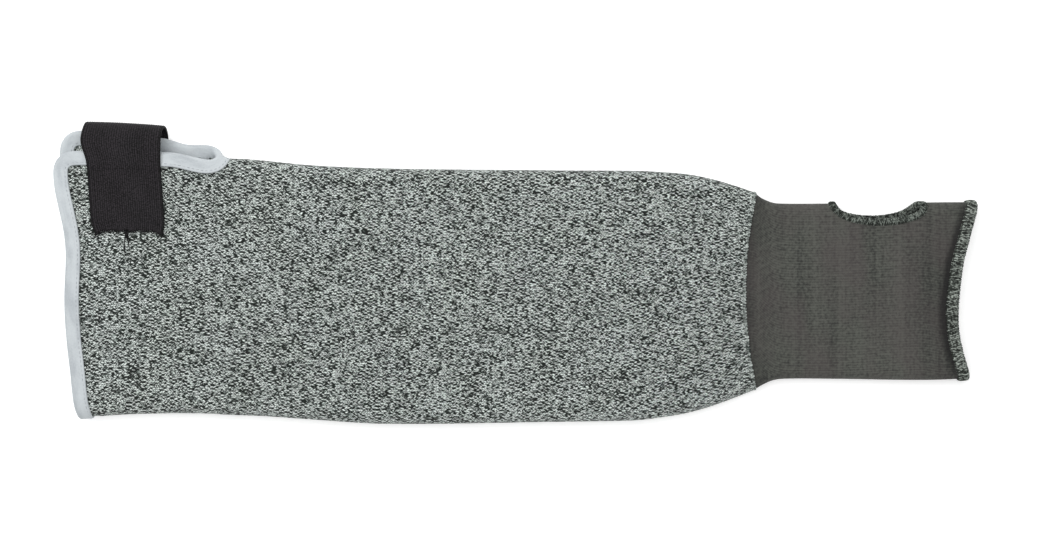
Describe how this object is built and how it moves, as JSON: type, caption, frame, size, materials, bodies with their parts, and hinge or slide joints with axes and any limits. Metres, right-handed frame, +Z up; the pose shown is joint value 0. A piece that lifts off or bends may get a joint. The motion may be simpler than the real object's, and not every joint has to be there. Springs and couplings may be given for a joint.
{
  "type": "cut resistant sleeve",
  "caption": "Knitted cut resistant arm sleeve lying flat: marled tube with a bound split and an elastic strap at the upper arm, and a ribbed cuff with a thumb hole.",
  "frame": {"origin": "middle of the underside, on the table the sleeve lies on", "axes": "+X along the sleeve from the upper arm end to the palm end, +Z up out of the upper layer, +Y across towards the fold with the split and the thumb hole"},
  "size_m": [0.4566, 0.1506, 0.0185],
  "materials": {
    "marl_knit": "matt marled grey and black plain knit",
    "rib_knit": "matt fine dark grey-green knit",
    "hem_thread": "matt dark grey-green overlock thread",
    "binding_tape": "smooth pale blue-grey knitted tape",
    "black_elastic": "black ribbed elastic webbing"
  },
  "bodies": {
    "root": {"sleeve_body": "marl_knit", "wrist_cuff": "rib_knit", "cuff_hem": "hem_thread", "thumb_hole_hem": "hem_thread", "edge_binding": "binding_tape", "elastic_strap": "black_elastic"}
  },
  "joints": []
}
